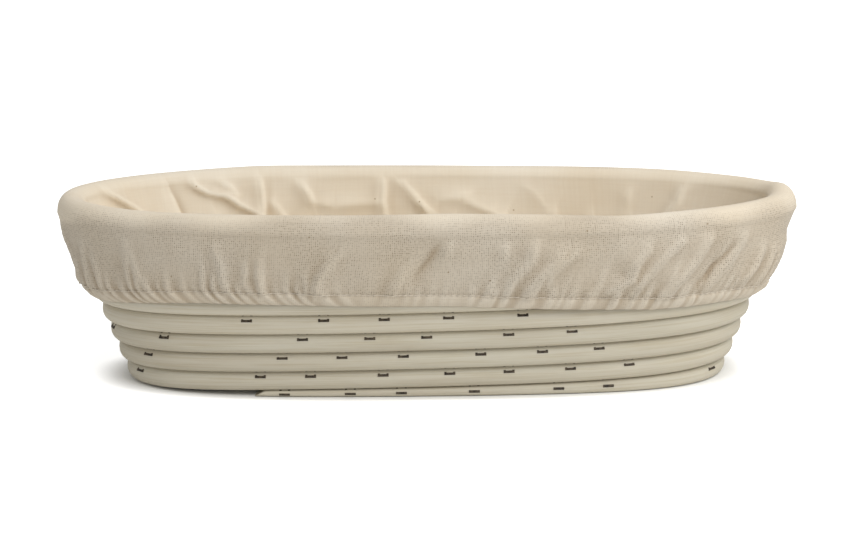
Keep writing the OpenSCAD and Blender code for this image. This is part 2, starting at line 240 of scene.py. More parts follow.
def rattan_core(name, length_mm, tones):
    """The material of one length of cane, between two tones."""
    material, shader = new_material(name)
    uv = add_node(material, "ShaderNodeUVMap", {"uv_map": "UVMap"})
    girth_mm = FULL_TURN * CANE_R
    fibre_at = add_node(material, "ShaderNodeMapping", {}, {
        "Vector": uv, "Scale": (length_mm / FIBRE_LONG, girth_mm / FIBRE_WIDE, 1)})
    fibre = add_node(material, "ShaderNodeTexNoise", {"noise_dimensions": "2D"}, {
        "Vector": fibre_at, "Scale": 1.0, "Detail": 3.0, "Roughness": 0.6})
    tone_at = add_node(material, "ShaderNodeMapping", {}, {
        "Vector": uv, "Scale": (length_mm / TONE_LONG, girth_mm / TONE_WIDE, 1)})
    tone = add_node(material, "ShaderNodeTexNoise", {"noise_dimensions": "2D"}, {
        "Vector": tone_at, "Scale": 1.0, "Detail": 4.0, "Roughness": 0.55})
    body = add_node(material, "ShaderNodeValToRGB", {
        "color_ramp": [(0.3, tones[0]), (0.7, tones[1])]}, {"Fac": tone})
    streak = add_node(material, "ShaderNodeValToRGB", {
        "color_ramp": [(0.3, "#F4F0E8"), (0.55, "#FFFFFF")]}, {"Fac": fibre})
    streaked = add_node(material, "ShaderNodeMix", {"data_type": "RGBA", "blend_type": "MULTIPLY"}, {
        "Factor": 1.0, "A": body, "B": streak})
    bump = add_node(material, "ShaderNodeBump", {}, {"Height": fibre, "Strength": 0.25, "Distance": 0.2 * MM})
    set_inputs(material, shader, {
        "Base Color": streaked.outputs["Result"], "Normal": bump, "Roughness": 0.62,
        "IOR": 1.45, "Specular IOR Level": 0.3})
    return material


def finish_cane(piece, node, length_mm, tones):
    """The cane takes the node's place; the floor and the wall's lowest length have darker tones, painted
    shade for the lowest turns.
    """
    dress(piece, rattan_core("rattan core " + node, length_mm, tones))
    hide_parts(node)
    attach(piece, "basket")


STRAIGHT_HALF = 44.0
straight_x = np.linspace(-STRAIGHT_HALF, STRAIGHT_HALF, int(2 * STRAIGHT_HALF / CANE_STEP))


def straight_route(x):
    """The short cane that the winding starts on, straight along the middle of the floor."""
    return np.stack([x, np.zeros_like(x), np.full_like(x, BASE_Z)], 1)


core = wind_cane("core_cane", straight_route, straight_x, straight_x, (-BASE_Z, CANE_R, -CANE_R, CANE_R))
finish_cane(core, "floor_core", 2 * STRAIGHT_HALF, PALE)

# The winding starts and stops at these angles in degrees. Its last end is pared on its outer side,
# where it runs out against the wall's first turn.
FLOOR_START, FLOOR_END = 405, 1470
floor_turns, floor_run = even_stations(floor_route, FLOOR_START, FLOOR_END)
room = FLOOR_PITCH * (1 - step_out(floor_turns)) - CANE_R
at_end = floor_turns > math.radians(360 * FLOOR_TURNS - 90)
outer_side = np.where(at_end, np.minimum(CANE_R, room), CANE_R)
floor_cane = wind_cane("floor_spiral_cane", floor_route, floor_turns, floor_run,
                       (-BASE_Z, CANE_R, -CANE_R, outer_side))
finish_cane(floor_cane, "floor_cane", floor_run[-1], LOW_SHADE)


# The wall: the same cane wound on upwards, eight rises of one cane each, in three
# lengths that are spliced behind with slanting cuts. Each turn climbs along the
# front. The first starts as a pared tip on the table, and the last is pared away.
WALL_PITCH = 9.95
RISE = math.sqrt(WALL_PITCH ** 2 - SIDE_FLARE ** 2)
RIM_Z = BASE_Z + RISE * WALL_RISES
TURN_GAP = WALL_PITCH - 2 * CANE_R
# Half the thickness of a cane in the wall
CANE_FACE = 4.65
# Share of the first climb where the tip starts, and of the last climb where the pared end stops
TIP_AT, END_AT = 0.34, 0.75
# Height over which the tip comes to its full section, and how much slimmer and squarer it starts
TIP_HEIGHT, TIP_SLIM, TIP_SQUARE = 3, 0.35, 0.3
# Room by which the last end keeps some thickness where it is pared to nothing
END_ROOM = 0.4
# A splice's slant along the cane for each mm of height, and the length over which it eases out
SCARF, SCARF_RUN = 2.0, 24.0
# Turns up to the first splice, and up to the second
LOWER_TURNS, MIDDLE_TURNS = 4, 7


def on_front(angle):
    """Whether a place is on the front, where the turns climb."""
    return angle % FULL_TURN >= math.pi


def climb(angle):
    """Share of a turn's climb that is made, all of it along the front."""
    return np.where(on_front(angle), (1 + np.cos(angle)) / 2, 1)


def turn_of(angle):
    """Number of a turn, counted from the left end."""
    return np.floor((angle - math.pi) / FULL_TURN)


def wall_level(angle):
    """The turn level that the wall's winding has reached."""
    return np.clip(turn_of(angle) + climb(angle) - 1, 0, WALL_RISES)


def wall_route(angle):
    """The wall's winding: a turn rises by one cane along the front and keeps level elsewhere."""
    level = wall_level(angle)
    return np.concatenate([plan(angle, level), (BASE_Z + RISE * level)[:, None]], 1)


def pared(angle):
    """Share of the first turn's paring, which ends where the turn has its full height."""
    top = RISE * climb(angle) - CANE_R - TURN_GAP
    return (angle < FULL_TURN) * np.clip((CANE_R - top) / TIP_HEIGHT, 0, 1)


def wall_limits(angle):
    """How far the cane reaches down, up, in and out from its middle line."""
    front, share, turn = on_front(angle), climb(angle), turn_of(angle)
    z = BASE_Z + RISE * wall_level(angle)
    tip_top = BASE_Z + RISE * share - CANE_R - TURN_GAP
    low = np.maximum(-CANE_R, -z)
    last = front & (turn == WALL_RISES + 1)
    low = np.where(last, np.maximum(low, RISE * (share - 1) + CANE_R + TURN_GAP), low)
    high = np.where(front & (turn == 0), np.minimum(CANE_R, tip_top - z), CANE_R)
    cut_away = np.where(last, (low + high) / (2 * CANE_R + END_ROOM), 0)
    half = CANE_FACE * np.sqrt(1 - cut_away ** 2) - TIP_SLIM * pared(angle)
    return low, high, -half, half


wall_start = 360 - math.degrees(math.acos(2 * TIP_AT - 1))
wall_end = 360 * (WALL_RISES + 2) - math.degrees(math.acos(2 * END_AT - 1))
splices = [wall_start, 90 + 360 * LOWER_TURNS, 90 + 360 * MIDDLE_TURNS, wall_end]
# The lowest length takes the darker tones, as painted shade
wall_lengths = [("lower", LOW_SHADE), ("middle", PALE), ("upper", PALE)]
for (part, tones), start, end in zip(wall_lengths, splices, splices[1:]):
    turns, run = even_stations(wall_route, start, end)
    # The first length's tip is cut aslant too, but the last ends in its paring
    from_start = np.clip(1 - run / SCARF_RUN, 0, 1)
    from_end = np.clip(1 - (run[-1] - run) / SCARF_RUN, 0, 1) * (end < wall_end)
    cane = wind_cane(f"wall_{part}_winding", wall_route, turns, run, wall_limits(turns),
                     SCARF * (from_start + from_end), CANE_ROUND - TIP_SQUARE * pared(turns))
    finish_cane(cane, "wall_cane_" + part, run[-1], tones)


# The staples: U-shaped pieces of steel wire, driven from outside through the top of
# a turn into the turn above it. They have gone dark brown with damp and flour.
# Oxidised steel has patches a millimetre and a half across, from brown to nearly black.
OXIDE_PATCH = 1.5
steel, steel_shader = new_material("dark oxidised steel wire")
steel_at = add_node(steel, "ShaderNodeTexCoord")
oxide = add_node(steel, "ShaderNodeTexNoise", {}, {
    "Vector": steel_at.outputs["Object"], "Scale": 1 / (OXIDE_PATCH * MM), "Detail": 3.0})
oxide_tone = add_node(steel, "ShaderNodeValToRGB", {
    "color_ramp": [(0.35, "#2B251E"), (0.68, "#5A4E3F")]}, {"Fac": oxide})
set_inputs(steel, steel_shader, {"Base Color": oxide_tone, "Metallic": 0.3, "Roughness": 0.6})
for name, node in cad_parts.items():
    if "staples" in name:
        dress(node, steel)


# The liner: one oval of unbleached cotton, pushed into the basket, turned over the
# rim and held outside by an elastic in its hem. It is a grid with one column for each
# 0.9 mm round the rim, laid row by row from the floor to the hem and then creased.
COLUMNS = 860
FLOOR_ROWS, CORNER_ROWS, WALL_ROWS, RIM_ROWS = 5, 5, 44, 12
SKIRT_ROWS, HEM_ROWS, UNDER_ROWS = 34, 10, 3
# The cloth's height on the floor, and how far up the wall it has turned out of the corner
FLOOR_TOP, CORNER_UP = 10.58, 9.0
# How far the bag lies inside the canes' middle line, and the least that a hollow in it leaves
BAG_IN, BAG_LEAST = 7.6, 5.4
# The roll over the rim: how far it reaches out and up, where the wall ends, and its first angle
RIM_OUT, RIM_UP, WALL_TOP, RIM_START = 6.7, 7.7, RIM_Z + 2.3, 155
HEM_BAND = 6.3

FINE_PARTS = 7200
fine = np.linspace(0, FULL_TURN, FINE_PARTS + 1)
rim_run = run_along(plan(fine, np.full_like(fine, WALL_RISES)))
rim_length = rim_run[-1]
round_mm = np.linspace(0, rim_length, COLUMNS + 1)


def rim_angles(places):
    """Angles at places in mm round the rim, of which the last is the first again."""
    return np.append(np.interp(places[:-1], rim_run, fine), 0.0)


round_angle = rim_angles(round_mm)
right_end, left_end = np.maximum(0, np.cos(round_angle)), np.maximum(0, -np.cos(round_angle))
# A row without folds
smooth = np.zeros(COLUMNS + 1)


def cloth_row(angle, level, reach, z):
    """Points round the basket, at a turn level, a distance out from its middle line, and a height."""
    level, reach, z = [np.broadcast_to(np.asarray(v, float), angle.shape) for v in (level, reach, z)]
    out = outward(angle, lambda near: plan(near, level))
    return np.concatenate([plan(angle, level) + out * reach[:, None], z[:, None]], 1)


def level_at(z):
    """The turn level of the wall at a height."""
    return (z - BASE_Z) / RISE


def round_from(place):
    """How far each column lies round the liner from a place, the shorter way and with its sign."""
    return (round_mm - place + rim_length / 2) % rim_length - rim_length / 2


# Length in mm over which values round the liner are evened out
BLUR = 31


def looped(points):
    """Smooth values round the liner, through points of (mm from the right end, value)."""
    places, values = np.array(points).T
    every_mm = np.arange(-rim_length, 2 * rim_length, 1.0)
    three_times = np.concatenate([places - rim_length, places, places + rim_length])
    rough = np.interp(every_mm, three_times, np.tile(values, 3))
    blurred = np.convolve(rough, np.hanning(BLUR) / np.hanning(BLUR).sum(), "same")
    return np.interp(round_mm, every_mm, blurred)


# Height of the hem's lower edge round the liner
hem_z = looped([
    (0, 40), (38, 41), (99, 43.4), (194, 45.7), (290, 44.6), (351, 42.4), (389, 40.5), (417, 41.5),
    (451, 45.1), (480, 47.1), (523, 47.3), (560, 46.8), (591, 46.8), (625, 44.9), (643, 43.8),
    (662, 43.3), (682, 41.9), (711, 42.1), (732, 42.2), (750, 41)])
stitch_z = hem_z + HEM_BAND
# The rim's roll is fuller in some places than in others, and swells at the right end
rim_lift = looped([
    (0, 0), (45, -0.7), (75, -0.4), (160, -0.8), (206, -0.4), (242, 0.1), (277, 1), (317, 0.3), (347, 0),
    (389, 0), (424, -0.3), (457, -0.4), (503, 0.3), (547, 0.7), (591, 1.5), (636, 0.3), (668, -1.6),
    (706, -0.7), (739, 0), (760, 0)])
SWELL, SWELL_HALF = 1.7, 11
rim_lift = rim_lift + SWELL * np.exp(-(round_from(0) / SWELL_HALF) ** 2)
# How far the skirt stands off at shares of its drop, at its right end, on its sides and at its left end
OFF_AT = [0, 0.15, 0.3, 0.5, 0.7, 0.85, 1]
OFF_RIGHT = [7.4, 7.4, 7.5, 10, 10.4, 9.9, 8.8]
OFF_SIDE = [6.7, 7.3, 7.8, 8.1, 8.4, 8.5, 8.2]
OFF_LEFT = [6.3, 6.3, 6.3, 6.4, 6.8, 7.6, 8.6]
# How fast the form of an end gives way to that of the sides
END_FALL = 6

# How steeply a fold rises to its ridge. Along it, its height follows half a wave that has this share cut
# off at each end, on top of the share of the height that is always there.
FOLD_SHARP, FOLD_CUT, FOLD_LEAST = 1.2, 0.1, 0.4


def crease(down, strokes):
    """Folds as strokes over the cloth: (height, breadth before the line and past it, points), in mm."""
    field = np.zeros(down.shape)
    for height, before, past, points in strokes:
        nearest = np.full(down.shape, np.inf)
        lift = np.zeros(down.shape)
        steps = [math.dist(a, b) for a, b in zip(points, points[1:])]
        done = 0.0
        for (ax, ay), (bx, by), step in zip(points, points[1:], steps):
            on_step = np.clip(((round_mm - ax) * (bx - ax) + (down - ay) * (by - ay)) / step ** 2, 0, 1)
            dx, dy = round_mm - ax - on_step * (bx - ax), down - ay - on_step * (by - ay)
            apart = np.hypot(dx, dy)
            breadth = np.where(dx * (by - ay) - dy * (bx - ax) < 0, before, past)
            # A fold is highest in its middle and runs out towards both its ends
            share = (done + on_step * step) / sum(steps)
            half_wave = np.sin(math.pi * (FOLD_CUT + (1 - 2 * FOLD_CUT) * share))
            taper = FOLD_LEAST + (1 - FOLD_LEAST) * half_wave
            lift = np.where(apart < nearest, taper * np.exp(-(apart / breadth) ** FOLD_SHARP), lift)
            nearest = np.minimum(nearest, apart)
            done += step
        field += height * lift
    return field


# Folds that run down the front of the skirt. Points are in mm round the liner from its right end, by way
# of the back, and below the rim's middle. A stroke with a height below zero is a furrow.
FRONT_FOLDS = [
    (0.9, 3, 3, [(445, 6), (445, 12), (442, 23)]),
    (1.2, 2, 3, [(449, 20), (452, 29)]),
    (1.5, 2.5, 4, [(488, 7), (491, 16), (493, 30)]),
    (1.5, 2, 3, [(502, 14), (502, 23), (505, 29)]),
    (1.8, 2, 3.5, [(508, 11), (508, 19), (511, 29), (512, 34)]),
    (2.85, 2.2, 5, [(540, 11), (535, 19), (534, 24), (534, 29)]),
    (1.8, 2, 3, [(529, 19), (530, 29), (534, 35)]),
    (1.5, 1.8, 2.5, [(539, 26), (540, 31), (542, 36)]),
    (1.8, 2, 4, [(571, 16), (568, 23), (567, 29), (569, 34)]),
    (-1.8, 3, 4, [(586, 4), (582, 11), (577, 18)]),
    (1.65, 3, 3, [(592, 2), (588, 10)]),
    (1.2, 3, 3, [(616, 4), (614, 11)]),
    (2.55, 4, 3, [(629, 2), (626, 12), (617, 22), (614, 28)]),
    (3, 4, 2.6, [(639, 11), (630, 20), (626, 26), (624, 34)]),
    (1.5, 3, 2.5, [(646, 9), (635, 19), (633, 24)]),
    (2.85, 4, 2.6, [(679, 9), (674, 15), (671, 23), (661, 28)]),
    (2.7, 3.5, 2.6, [(695, 6), (685, 15), (673, 29)]),
    (3.3, 4, 2.6, [(709, 6), (703, 16), (693, 27), (687, 38)]),
    (-2.4, 3, 3, [(723, 11), (714, 19), (707, 27), (706, 34)]),
    (2.4, 3, 2.4, [(728, 8), (720, 19), (712, 30)]),
    (2.55, 3, 2.2, [(742, 15), (739, 23), (733, 29)]),
    (2.55, 3, 2.2, [(751, 18), (747, 28), (745, 34)]),
    (2.25, 3, 2.2, [(757, 20), (754, 30), (750, 37)]),
]
# Folds inside the back wall, in mm round the liner and along the cloth down from the rim's top
BACK_FOLDS = [
    (3.75, 3.5, 2.4, [(364, 3), (359, 8), (353, 14), (343, 22), (339, 28)]),
    (-1.95, 9, 1.6, [(324, 9), (322, 15), (318, 26), (316, 34)]),
    (3.45, 2.4, 2, [(313, 4), (311, 8), (305, 13), (295, 16), (289, 20), (280, 24), (272, 31)]),
    (1.8, 3, 3, [(298, 5), (294, 9), (290, 14)]),
    (2.7, 2, 4, [(278, 5), (277, 14), (276, 22), (276, 36)]),
    (2.1, 3, 3, [(271, 20), (265, 27), (262, 36)]),
    (2.55, 3, 4, [(257, 9), (251, 20)]),
    (2.7, 3, 4, [(251, 20), (239, 22), (217, 21)]),
    (2.4, 2.5, 4, [(215, 8), (215, 20), (213, 32)]),
    (2.55, 2.5, 4, [(205, 10), (201, 16), (195, 23), (188, 34)]),
    (2.1, 3, 3, [(197, 21), (188, 27)]),
    (2.1, 3, 4, [(187, 20), (172, 18)]),
    (2.4, 3, 4, [(173, 21), (160, 26), (150, 33)]),
    (0.75, 4, 4, [(142, 13), (138, 17), (132, 25)]),
    (1.05, 4, 4, [(89, 14), (91, 22)]),
    (1.95, 3, 5, [(70, 27), (63, 19), (61, 11)]),
]

# The sides that are turned away get folds of the same kind, set by a fixed seed
chance = np.random.default_rng(7)
LEFT_END_AT = 389
REAR_PLACES = np.arange(8, 432, 14)
INNER_PLACES = np.concatenate([np.arange(10, 380, 24), np.arange(392, 774, 13)])
rear_folds, inner_folds = [], []
for place in REAR_PLACES:
    at = place + chance.uniform(-5, 5)
    lean = chance.uniform(-6, 6)
    top = chance.uniform(8, 20)
    rear_folds.append((chance.uniform(1.05, 2.85), 2.6, 3.6,
                       [(at, top), (at + lean / 2, top + 9), (at + lean, 36)]))
for place in INNER_PLACES:
    at = place + chance.uniform(-6, 6)
    lean = chance.uniform(-12, 12)
    top = chance.uniform(26, 40) if place < LEFT_END_AT else chance.uniform(5, 34)
    inner_folds.append((chance.uniform(0.9, 2.55), 3, 4.5,
                        [(at, top), (at + lean / 2, top + 10), (at + lean, top + 24)]))


def slack(drop):
    """Shallow dents and swellings of one to three centimetres, at places in mm below the rim's middle."""
    field = np.zeros(drop.shape)
    for place in np.arange(0, rim_length, 7.0):
        at, down = place + chance.uniform(-5, 5), chance.uniform(-4, 30)
        height = chance.uniform(-0.55, 0.55)
        broad, tall = chance.uniform(5, 14), chance.uniform(3.5, 8)
        field += height * np.exp(-(round_from(at) / broad) ** 2 - ((drop - down) / tall) ** 2)
    return field


# Small gathers of the hem: on the front's left they run down and hook to the right, in its
# middle they are faint, and elsewhere they lean over, as the elastic has drawn them
HOOKED, FAINT = (400, 545), (545, 605)
FAINT_SHARE, SHORT_SHARE = 0.35, 0.7
# Sideways run of a gather for each mm down it, and for a hooked one also its curl, from so far above
LEAN, FAINT_LEAN = -0.42, -0.18
HOOK, CURL, HOOK_ABOVE = 0.5, 0.05, 2
# Spacing of the gathers, and how far the cloth sinks between them
GATHER_STEP, GATHER_SUNK = 5.6, 0.25


def gathers(below):
    """Height of the gathers, at places in mm below the stitched line, which are negative above it."""
    field = np.zeros(below.shape)
    for place in np.arange(0, rim_length - GATHER_STEP / 2, GATHER_STEP):
        at = place + chance.uniform(-2.2, 2.2)
        hooked = HOOKED[0] < at < HOOKED[1]
        faint = FAINT[0] < at < FAINT[1]
        height = chance.uniform(0.3, 1.7) * (FAINT_SHARE if faint else 1)
        breadth = chance.uniform(1.0, 2.2)
        up = chance.uniform(4, 12) if chance.random() < SHORT_SHARE else chance.uniform(12, 26)
        if hooked:
            bend = np.maximum(0, below + HOOK_ABOVE)
            line = at + HOOK * bend + CURL * bend ** 2
        else:
            line = at + (FAINT_LEAN if faint else LEAN) * below
        fade = np.exp(-2 * np.minimum(0, below / up) ** 2)
        field += height * fade * np.exp(-(round_from(line) / breadth) ** 2)
    return field - GATHER_SUNK


rows, lifts = [], []


def lay_row(points, lift):
    """One more row of the cloth, and how far its folds stand out."""
    rows.append(points)
    lifts.append(lift)


def shares(count):
    """Equal steps up to 1, without the 0."""
    return (np.arange(count) + 1) / count


# The cloth starts as a line along the middle of the floor, lies in slight ripples and turns up the wall
MIDDLE_HALF, FOOT_IN = 60, 6
RIPPLE, RIPPLE_X, RIPPLE_Y = 0.5, 9, 5
middle_x = bowed_line(MIDDLE_HALF, CORE_BOW, round_angle)
middle = np.stack([middle_x, smooth, smooth + FLOOR_TOP], 1)
foot = cloth_row(round_angle, 0, -BAG_IN - FOOT_IN, FLOOR_TOP)
corner = cloth_row(round_angle, level_at(FLOOR_TOP), -BAG_IN, FLOOR_TOP)
above = cloth_row(round_angle, level_at(FLOOR_TOP + CORNER_UP), -BAG_IN, FLOOR_TOP + CORNER_UP)
for t in np.linspace(0, 1, FLOOR_ROWS, endpoint=False):
    points = middle + (foot - middle) * t
    ripples = 1 + np.sin(points[:, 0] / RIPPLE_X + points[:, 1] / RIPPLE_Y)
    points[:, 2] += RIPPLE * ripples * math.sin(math.pi * t)
    lay_row(points, smooth)
for t in np.linspace(0, 1, CORNER_ROWS, endpoint=False):
    lay_row((1 - t) ** 2 * foot + 2 * t * (1 - t) * corner + t * t * above, smooth)

# From the corner up the wall and over the rim, the cloth's way is counted from the rim's top. The bend
# under the roll makes it longer than the height by so many mm, over so many mm of height from its top.
BEND_MORE, BEND_DEEP, BEND_TOP = 4.0, 7.25, RIM_Z + 3.25
INNER_FADE = 8
arc = np.radians(np.linspace(RIM_START, 0, RIM_ROWS))
inner_arc, outer_arc = arc[arc > math.pi / 2], arc[arc <= math.pi / 2]
wall_z = np.linspace(FLOOR_TOP + CORNER_UP, WALL_TOP, WALL_ROWS)
inside_z = np.concatenate([wall_z, RIM_Z + RIM_UP * np.sin(inner_arc)])
from_top = RIM_Z + RIM_UP - inside_z + BEND_MORE * np.clip((BEND_TOP - inside_z) / BEND_DEEP, 0, 1)
inner = crease(from_top[:, None] + smooth, BACK_FOLDS + inner_folds)
inner *= np.clip(from_top / INNER_FADE, 0, 1)[:, None]
inner *= np.clip((inside_z - FLOOR_TOP - CORNER_UP) / INNER_FADE, 0, 1)[:, None]
for z, fold in zip(wall_z, inner):
    lay_row(cloth_row(round_angle, level_at(z), np.minimum(-BAG_IN - fold, -BAG_LEAST), z), fold)
FOLD_UP = 0.5
for bend, fold in zip(inner_arc, inner[WALL_ROWS:]):
    lay_row(cloth_row(round_angle, WALL_RISES, (BAG_IN + fold) * math.cos(bend),
                      RIM_Z + (RIM_UP + rim_lift + FOLD_UP * fold) * math.sin(bend)), fold)

# Down the outside: the roll, which is slimmer at the left end and fuller at the right, the skirt to the
# stitched line, the hem to its edge, and the turned-up part behind it
LEFT_SLIM, RIGHT_FULL = 1.1, 0.7
OUTER_FADE = 6
SKIRT_LEAST, EDGE_OUT, UNDER_OUT = 6.1, 6.0, 5.75
# The thread pulls the cloth in by so much, and so far to both sides
PULL, PULL_WIDE = 0.5, 0.9
# Shares of a fold that go on past the thread, of a gather that is lost at the hem's edge or waves the
# edge, and of the hem's height that is turned up
FOLD_KEPT, GATHER_LOST, EDGE_WAVE, TURNED_UP = 0.35, 0.55, 0.5, 0.9
at_right, at_left = right_end ** END_FALL, left_end ** END_FALL
skirt_share, hem_share = shares(SKIRT_ROWS), shares(HEM_ROWS)
drop = (RIM_Z - stitch_z) * skirt_share[:, None]
dents = slack(np.concatenate([-RIM_UP * np.sin(outer_arc)[:, None] + smooth, drop]))
for bend, dent in zip(outer_arc, dents):
    full = RIM_OUT + dent - LEFT_SLIM * at_left + RIGHT_FULL * at_right
    lay_row(cloth_row(round_angle, WALL_RISES, full * math.cos(bend),
                      RIM_Z + (RIM_UP + rim_lift) * math.sin(bend)), smooth)
folds = dents[-SKIRT_ROWS:] + crease(drop, FRONT_FOLDS + rear_folds) * np.clip(drop / OUTER_FADE, 0, 1)
right_off, side_off, left_off = [
    np.interp(skirt_share, OFF_AT, off)[:, None] for off in (OFF_RIGHT, OFF_SIDE, OFF_LEFT)]
stand = right_off * at_right + side_off * (1 - at_right - at_left) + left_off * at_left
below = np.concatenate([drop - (RIM_Z - stitch_z), HEM_BAND * hem_share[:, None] + smooth])
ruffle = gathers(below)
pulled = PULL * np.exp(-(below / PULL_WIDE) ** 2)
lifted = folds + ruffle[:SKIRT_ROWS]
skirt_reach = np.maximum(stand + lifted - pulled[:SKIRT_ROWS], SKIRT_LEAST)
for reach, down, lift in zip(skirt_reach, drop, lifted):
    lay_row(cloth_row(round_angle, level_at(RIM_Z - down), reach, RIM_Z - down), lift)
for t, ripple, pull in zip(hem_share, ruffle[SKIRT_ROWS:], pulled[SKIRT_ROWS:]):
    z = stitch_z - HEM_BAND * t
    full = stand[-1] + FOLD_KEPT * folds[-1] * (1 - t) + ripple * (1 - GATHER_LOST * t ** 3) - pull
    reach = full + (EDGE_OUT + EDGE_WAVE * np.maximum(0, ripple) - full) * t ** 4
    lay_row(cloth_row(round_angle, level_at(z), np.maximum(reach, EDGE_OUT), z), ripple + folds[-1] * (1 - t))
for t in shares(UNDER_ROWS):
    z = hem_z + TURNED_UP * HEM_BAND * t
    lay_row(cloth_row(round_angle, level_at(z), UNDER_OUT, z), smooth)
cloth = np.array(rows)

liner, column, row = grid_piece("cotton_liner", COLUMNS, len(cloth) - 1)
# The weave follows the cloth, so its map holds metres round the liner and, on average, down the cloth
step_mm = np.linalg.norm(np.diff(cloth, axis=0), axis=2).mean(1)
down_mm = np.concatenate([[0], np.cumsum(step_mm)])
corners = np.zeros(len(liner.data.loops), int)
liner.data.loops.foreach_get("vertex_index", corners)
woven = np.stack([round_mm[column[corners]], down_mm[row[corners]]], 1) * MM
liner.data.uv_layers["UVMap"].data.foreach_set("uv", woven.ravel())
# How far round to the outside the cloth is, which paints its tone darker as painted shade, how far it is one
# layer whose holes show the cane behind as painted shade, and how far it stands out of the cloth beside it,
# which paints its hollows darker as painted shade. Rows are counted from the start of the roll over the rim,
# and the change comes some rows later at the two ends.
LATE_LEFT, LATE_RIGHT = 8, 4
OUTSIDE_FROM, OUTSIDE_OVER, OUTSIDE_HEM = 4.2, 4.2, 0.75
SINGLE_FROM, SINGLE_OVER, SINGLE_HEM = 3.0, 6.8, 0.35
UNEVEN_EDGE = [(1, 17, 1), (0.8, 7.3, 0)]
BESIDE = 8
rim_start = FLOOR_ROWS + CORNER_ROWS + WALL_ROWS
hem_start = rim_start + RIM_ROWS + SKIRT_ROWS
late = LATE_LEFT * left_end ** 3 + LATE_RIGHT * right_end ** 3
past_rim = np.arange(len(cloth))[:, None] - rim_start + waves(round_mm, UNEVEN_EDGE)
outside = np.clip((past_rim - late - OUTSIDE_FROM) / OUTSIDE_OVER, 0, 1)
outside[hem_start:] = OUTSIDE_HEM
one_layer = np.clip((past_rim - 0.5 * late - SINGLE_FROM) / SINGLE_OVER, 0, 1)
one_layer[hem_start:] = SINGLE_HEM
window = np.hanning(2 * BESIDE + 1)
window /= window.sum()
proud = np.array([
    lift - np.convolve(np.concatenate([lift[-BESIDE - 1:-1], lift, lift[1:BESIDE + 1]]), window, "valid")
    for lift in lifts])
for name, values in (("outside", outside), ("single", one_layer), ("proud", proud)):
    layer = liner.data.attributes.new(name, "FLOAT", "POINT")
    layer.data.foreach_set("value", values[row, column].astype(np.float32))
bend_grid(liner, cloth[row, column])
# A sheet has no outside of its own: its right side is the one that faces up on the rim
highest = max(liner.data.polygons, key=lambda face: face.center.z)
if highest.normal.z < 0:
    bpy.ops.object.mode_set(mode="EDIT")
    bpy.ops.mesh.flip_normals()
    bpy.ops.object.mode_set(mode="OBJECT")
bpy.ops.object.shade_smooth()

# Cotton: unbleached plain weave. Where it hangs as one layer, the small holes between the threads show the
# cane behind, painted dark as painted shade; inside, and doubled in the hem, it is smooth. Its outside is
# painted darker than its inside, with the doubled hem between, as painted shade and light on the one cloth.
# Real threads of half a millimetre are drawn 0.9 mm wide so that they show. The hollows of its folds are
# painted darker, as painted shade.
THREAD = 0.9
# The threads waver by up to 1.8 of their width over a dozen of them
WAVER, WAVER_OVER = 1.8, 12
# The holes show in patches of two centimetres, and the tone changes over six
HOLE_PATCH, CLOUD = 20, 60
HUSK_APART = 50
cotton, cotton_shader = new_material("unbleached cotton plain weave")
cotton_uv = add_node(cotton, "ShaderNodeUVMap", {"uv_map": "UVMap"})
thread_at = add_node(cotton, "ShaderNodeMapping", {}, {
    "Vector": cotton_uv, "Scale": (1 / (THREAD * MM), 1 / (THREAD * MM), 1)})
waver = add_node(cotton, "ShaderNodeTexNoise", {"noise_dimensions": "2D"}, {
    "Vector": thread_at, "Scale": 1 / WAVER_OVER})
bent = add_node(cotton, "ShaderNodeVectorMath", {"operation": "MULTIPLY_ADD"}, {
    0: waver.outputs["Color"], 1: (WAVER, WAVER, 0), 2: thread_at})
bent_axes = add_node(cotton, "ShaderNodeSeparateXYZ", {}, {"Vector": bent})
furrows = []
for axis in "XY":
    phase = add_node(cotton, "ShaderNodeMath", {"operation": "MULTIPLY"}, {
        0: bent_axes.outputs[axis], 1: math.pi})
    swing = add_node(cotton, "ShaderNodeMath", {"operation": "SINE"}, {0: phase})
    ridge = add_node(cotton, "ShaderNodeMath", {"operation": "ABSOLUTE"}, {0: swing})
    furrows.append(add_node(cotton, "ShaderNodeMath", {"operation": "SUBTRACT"}, {0: 1.0, 1: ridge}))
hole = add_node(cotton, "ShaderNodeMath", {"operation": "MULTIPLY"}, {0: furrows[0], 1: furrows[1]})
# No two holes are alike
hole_size = add_node(cotton, "ShaderNodeTexNoise", {"noise_dimensions": "2D"}, {
    "Vector": thread_at, "Scale": 0.7, "Detail": 1.0})
uneven = add_node(cotton, "ShaderNodeMapRange", {}, {
    "Value": hole_size, "From Min": 0.35, "From Max": 0.65, "To Min": 0.1, "To Max": 1.5})
weave = add_node(cotton, "ShaderNodeMath", {"operation": "MULTIPLY"}, {0: hole, 1: uneven})
patch = add_node(cotton, "ShaderNodeTexNoise", {"noise_dimensions": "2D"}, {
    "Vector": cotton_uv, "Scale": 1 / (HOLE_PATCH * MM)})
patchy = add_node(cotton, "ShaderNodeMapRange", {}, {
    "Value": patch, "From Min": 0.3, "From Max": 0.7, "To Min": 0.55, "To Max": 1.15})
# Painted shade: where the cloth is one layer, its holes are painted dark for the pale cane that lies in its
# shade behind them
single = add_node(cotton, "ShaderNodeAttribute", {"attribute_name": "single"})
open_weave = add_node(cotton, "ShaderNodeMath", {"operation": "MULTIPLY"}, {
    0: single.outputs["Fac"], 1: patchy})
seen_holes = add_node(cotton, "ShaderNodeMath", {"operation": "MULTIPLY"}, {0: weave, 1: open_weave})
# Painted shade and light: the one cloth is painted darker outside, where it hangs facing down, and paler
# inside, where it faces the lamp; the hem lies between
outside_shade = add_node(cotton, "ShaderNodeAttribute", {"attribute_name": "outside"})
cotton_tone = add_node(cotton, "ShaderNodeValToRGB", {
    "color_ramp": [(0.0, "#EAE1D0"), (1.0, "#CFC6B7")]}, {"Fac": outside_shade.outputs["Fac"]})
tints = [(seen_holes, [(0.0, "#FFFFFF"), (1.0, "#85796A")])]
